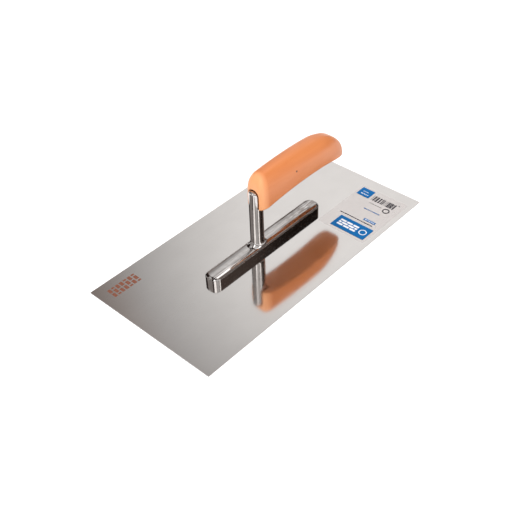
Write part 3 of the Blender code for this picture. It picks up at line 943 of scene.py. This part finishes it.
def brick_bond(x0, y0, x1, y1, courses, bricks, joint):
    """Rectangles of a brick wall, with its courses stacked along X and laid along Y."""
    marks = []
    course = (x1 - x0 + joint) / courses
    length = (y1 - y0 + joint) / bricks
    for row in range(courses):
        low_x = x0 + row * course
        shift = length / 2 if row % 2 else 0.0
        for number in range(bricks + (1 if row % 2 else 0)):
            low_y = max(y0 + number * length - shift, y0)
            high_y = min(y0 + (number + 1) * length - shift - joint, y1)
            marks.append((low_x, low_y, low_x + course - joint, high_y))
    return marks


def dashes(x, height, y0, y1, rng):
    """A line of small blocks in place of small print."""
    marks = []
    y = y0
    while y < y1:
        length = min(rng.uniform(*DASH_LENGTHS), y1 - y)
        if length > SHORTEST_DASH:
            marks.append((x - height / 2, y, x + height / 2, y + length))
        y += length + rng.uniform(*DASH_GAPS)
    return marks


def stripes(x0, x1, y0, y1, rng):
    """A block of bars of uneven widths."""
    marks = []
    y = y0
    while y < y1:
        width = rng.choice(STRIPE_WIDTHS)
        marks.append((x0, y, x1, min(y + width, y1)))
        y += width + rng.choice(STRIPE_GAPS)
    return marks


def blue_marks(rng):
    """Three blocks and a line of dashes."""
    return list(BLUE_BLOCKS) + dashes(106.8, 1.1, -56.6, -38.3, rng)


def dark_marks(rng, base):
    """Two lines of dashes, the stripes, a dot and a ring."""
    marks = dashes(88.0, 1.2, -61.6, -23.5, rng)
    marks += stripes(122.0, 130.3, -61.5, -35.0, rng)
    marks += dashes(117.3, 0.4, -51.7, -37.0, rng)
    marks.append(DARK_DOT)
    marks.append(ring_mark(116.0, -58.0, 3.7, 2.6, base))
    return marks


def white_marks(rng, base):
    """A brick wall and a ring on the large blue block, and dashes on the other two."""
    marks = brick_bond(70.2, -53.5, 79.2, -32.0, courses=3, bricks=3, joint=1.0)
    marks.append(ring_mark(74.7, -60.3, 4.0, 3.1, base))
    marks += dashes(92.7, 0.8, -60.8, -49.8, rng)
    marks += dashes(125.4, 1.0, -29.5, -20.5, rng)
    marks += dashes(129.4, 0.8, -27.0, -20.5, rng)
    return marks


def make_label():
    """A clear film with three colours of print on it."""
    plate = rounded_plate(LABEL_LOW, LABEL_HIGH, FILM_CORNER)
    film = object_from_bmesh("label_clear_film", plate, clear_film())
    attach(film, "root")
    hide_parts("label")
    rng = random.Random(PRINT_SEED)
    on_film = LABEL_HIGH.z + PRINT_ABOVE_FILM
    on_ink = on_film + PRINT_ABOVE_INK
    blue_ink = ink("blue_ink", (0.0, 0.125, 0.37))
    dark_ink = ink("dark_ink", (0.035, 0.033, 0.04))
    white_ink = ink("white_ink", (0.85, 0.87, 0.9))
    prints = (
        ("label_blue_print", blue_marks(rng), on_film, blue_ink),
        ("label_dark_print", dark_marks(rng, on_film), on_film, dark_ink),
        ("label_white_print", white_marks(rng, on_ink), on_ink, white_ink),
    )
    for name, marks, base, material in prints:
        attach(printed(name, marks, base, material), "root")


def make_stamp():
    """A brick-bond mark in rust-brown ink near one corner of the blade."""
    marks = brick_bond(-139.0, 53.0, -127.0, 65.0, courses=3, bricks=2, joint=1.3)
    marks += brick_bond(-125.7, 53.0, -108.0, 65.0, courses=4, bricks=2, joint=1.3)
    base = BLADE_HIGH.z + PRINT_ABOVE_BLADE
    stamp = printed("stamped_mark", marks, base, ink("rust_ink", (0.22, 0.085, 0.055), 0.4))
    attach(stamp, "root")


# --- Stage ---


def make_floor():
    """A disc just under the blade."""
    shape = bmesh.new()
    bmesh.ops.create_circle(shape, cap_ends=True, segments=64, radius=FLOOR_RADIUS)
    bmesh.ops.translate(shape, vec=(0, 0, -FLOOR_DROP), verts=shape.verts)
    object_from_bmesh("floor", shape, pale_floor())


def window(tree, value, centre, half, soft):
    """1 where the angle value is within half of centre, and 0 from soft further out."""
    offset = combined(tree, "SUBTRACT", value, centre)
    wrapped = combined(tree, "WRAP", offset, math.pi, -math.pi)
    distance = combined(tree, "ABSOLUTE", wrapped)
    inside = tree.nodes.new("ShaderNodeMapRange")
    inside.interpolation_type = "SMOOTHSTEP"
    inside.inputs["From Min"].default_value = half + soft
    inside.inputs["From Max"].default_value = half
    tree.links.new(distance, inside.inputs["Value"])
    return inside.outputs["Result"]


def card_light(tree):
    """The brightness of all the cards together, over a faint light from everywhere."""
    axes = axes_of(tree, "ShaderNodeTexCoord", "Generated")
    azimuth = combined(tree, "ARCTAN2", axes["Y"], axes["X"])
    elevation = combined(tree, "ARCSINE", axes["Z"])
    total = FAINT_LIGHT
    for *angles, brightness in CARDS:
        around, half_width, side_soft, up, half_height, end_soft = map(math.radians, angles)
        across = window(tree, azimuth, around, half_width, side_soft)
        upward = window(tree, elevation, up, half_height, end_soft)
        card = combined(tree, "MULTIPLY", across, upward)
        total = combined(tree, "ADD", combined(tree, "MULTIPLY", card, brightness), total)
    return total


def make_world():
    """The cards light and are mirrored by the object, in front of a plain pale backdrop."""
    world = bpy.data.worlds.new("studio")
    bpy.context.scene.world = world
    world.use_nodes = True
    tree = world.node_tree
    light = card_light(tree)
    background = tree.nodes["Background"]
    tree.links.new(light, background.inputs["Strength"])
    tint = mixed(tree, graded(tree, light, 0.05, 0.5), WEAK_TINT, STRONG_TINT)
    tree.links.new(tint, background.inputs["Color"])
    plain = tree.nodes.new("ShaderNodeBackground")
    plain.inputs["Color"].default_value = BACKDROP
    path = tree.nodes.new("ShaderNodeLightPath")
    mix = tree.nodes.new("ShaderNodeMixShader")
    tree.links.new(path.outputs["Is Camera Ray"], mix.inputs[0])
    tree.links.new(background.outputs[0], mix.inputs[1])
    tree.links.new(plain.outputs[0], mix.inputs[2])
    tree.links.new(mix.outputs[0], tree.nodes["World Output"].inputs["Surface"])


def add_sun(name, direction, strength, spread):
    """Soft light from a direction. It lights the wood and the floor, but isn't mirrored."""
    light = bpy.data.lights.new(name, "SUN")
    light.energy = strength
    light.angle = math.radians(spread)
    obj = bpy.data.objects.new(name, light)
    obj.rotation_euler = Vector(direction).to_track_quat("Z", "Y").to_euler()
    obj.visible_glossy = False
    bpy.context.scene.collection.objects.link(obj)


def make_camera():
    """It looks at the aim point from an azimuth and elevation, and is rolled a little."""
    level = math.cos(CAMERA_ELEVATION)
    back_x = math.sin(CAMERA_AZIMUTH) * level
    back_y = -math.cos(CAMERA_AZIMUTH) * level
    back = Vector((back_x, back_y, math.sin(CAMERA_ELEVATION)))
    data = bpy.data.cameras.new("camera")
    data.lens = CAMERA_LENS
    data.sensor_width = CAMERA_SENSOR
    camera = bpy.data.objects.new("camera", data)
    bpy.context.scene.collection.objects.link(camera)
    turn = (-back).to_track_quat("-Z", "Y").to_matrix().to_4x4()
    roll = Matrix.Rotation(CAMERA_ROLL, 4, "Z")
    camera.matrix_world = Matrix.Translation(CAMERA_AIM + back * CAMERA_DISTANCE) @ turn @ roll
    bpy.context.scene.camera = camera


def paint_cad_nodes():
    """Materials for the CAD nodes that stay visible."""
    steel = sheet_steel()
    plain = turned_steel("plain_steel", *RIVET_TONES)
    blackened = turned_steel("pin_steel", *PIN_TONES)
    for name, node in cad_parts.items():
        if name == "blade":
            node.data.materials[0] = steel
        elif name == "tang_pin":
            node.data.materials[0] = blackened
        elif name.startswith("rivet_"):
            node.data.materials[0] = plain


def main():
    bpy.context.scene.view_settings.view_transform = "Standard"
    make_camera()
    make_floor()
    make_world()
    add_sun("top_light", direction=(0.1, 0.2, 1.0), strength=1.55, spread=60)
    add_sun("left_light", direction=(-1.0, -0.3, 0.6), strength=1.7, spread=50)
    paint_cad_nodes()
    make_bar(polished_chrome("bar_chrome", along_bar, line_share=0.75))
    make_shank(polished_chrome("shank_chrome", along_shank, line_share=0.45))
    make_handle(varnished_beech())
    make_label()
    make_stamp()


main()
